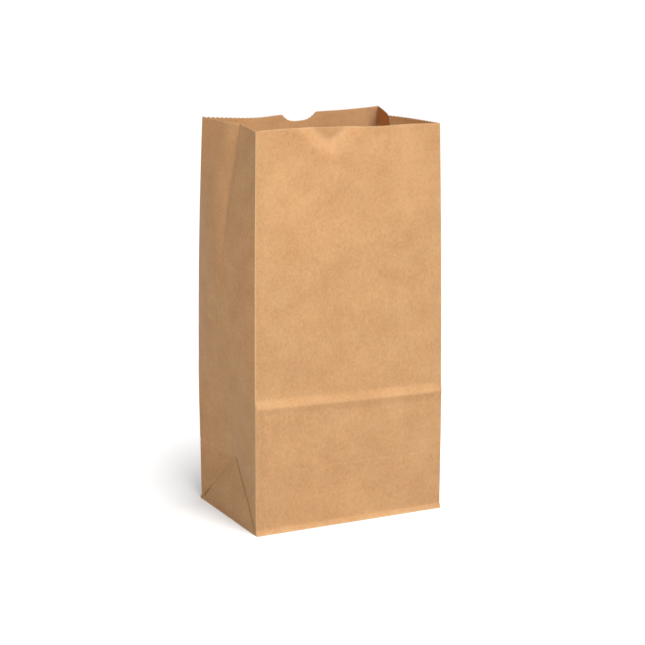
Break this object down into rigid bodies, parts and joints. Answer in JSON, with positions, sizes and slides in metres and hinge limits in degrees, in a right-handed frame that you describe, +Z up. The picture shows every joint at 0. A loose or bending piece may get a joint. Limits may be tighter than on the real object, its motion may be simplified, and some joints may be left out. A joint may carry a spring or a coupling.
{
  "type": "brown paper lunch bag",
  "caption": "Small gusseted kraft paper bag standing open on a folded block bottom, with a saw-cut mouth and a thumb notch in the back panel.",
  "frame": {"origin": "middle of the bounding box, on the surface the bag stands on", "axes": "+X across the front panel, to the right as seen from the front; +Y from the front panel to the back panel; +Z up, from the base to the mouth"},
  "size_m": [0.1572, 0.0928, 0.2811],
  "materials": {
    "kraft_paper": "matte unbleached kraft"
  },
  "bodies": {
    "root": {"paper_bag": "kraft_paper"}
  },
  "joints": []
}
